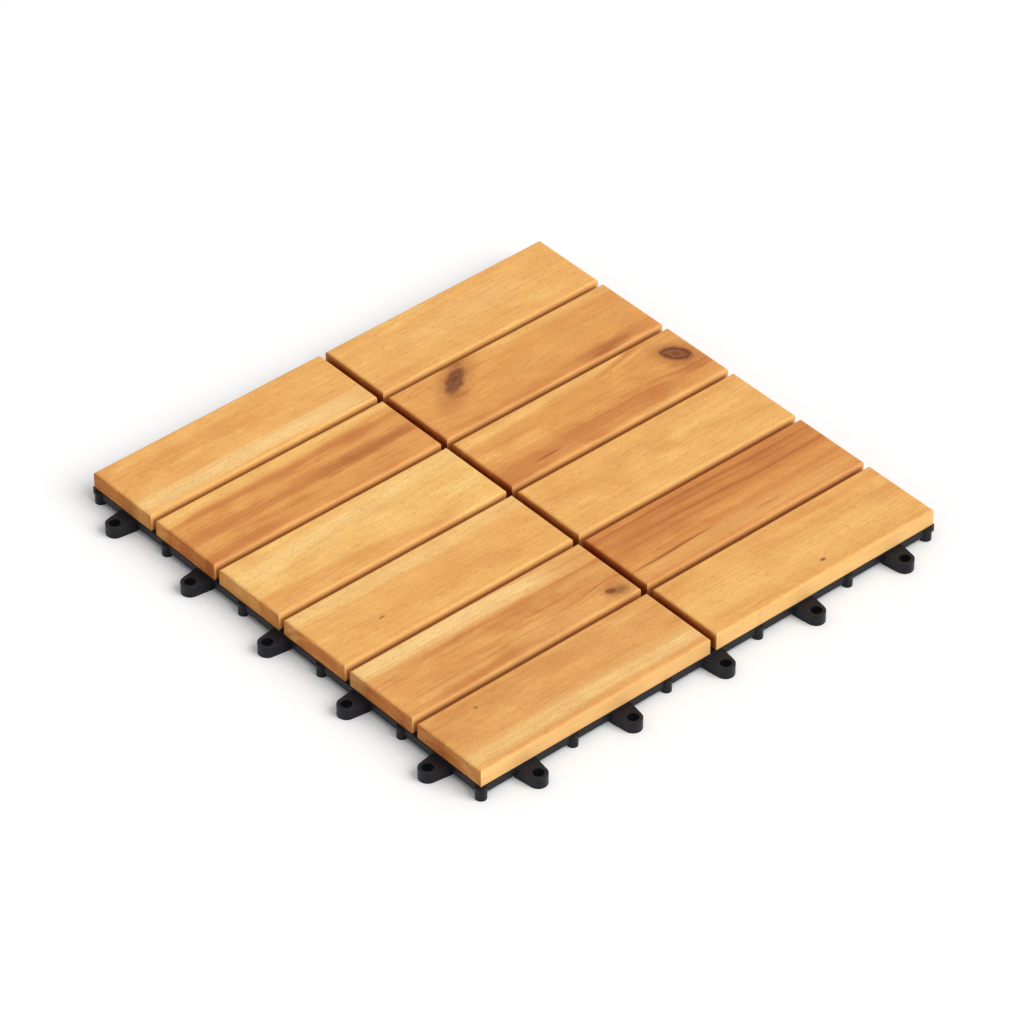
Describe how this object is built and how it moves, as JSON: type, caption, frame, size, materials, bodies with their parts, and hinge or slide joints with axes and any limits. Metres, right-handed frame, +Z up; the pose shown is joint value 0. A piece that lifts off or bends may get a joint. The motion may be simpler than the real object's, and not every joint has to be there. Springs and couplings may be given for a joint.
{
  "type": "interlocking deck tile",
  "caption": "Square deck tile of hardwood slats screwed to a moulded plastic lattice base, with loops on two sides and matching pegs on the other two for clipping tiles together.",
  "frame": {"origin": "middle of the 300 mm module, on the ground under the middle foot", "axes": "+Z up; +X along the slats; loops on the -X and -Y sides, pegs on the +X and +Y sides"},
  "size_m": [0.3104, 0.3104, 0.0168],
  "materials": {
    "black_plastic": "moulded, slight sheen",
    "hardwood": "oiled",
    "screw_steel": "bright zinc"
  },
  "bodies": {
    "root": {"base_grid": "black_plastic", "slat_left_1": "hardwood", "slat_left_2": "hardwood", "slat_left_3": "hardwood", "slat_left_4": "hardwood", "slat_left_5": "hardwood", "slat_left_6": "hardwood", "slat_right_1": "hardwood", "slat_right_2": "hardwood", "slat_right_3": "hardwood", "slat_right_4": "hardwood", "slat_right_5": "hardwood", "slat_right_6": "hardwood", "deck_screws": "screw_steel"}
  },
  "joints": []
}
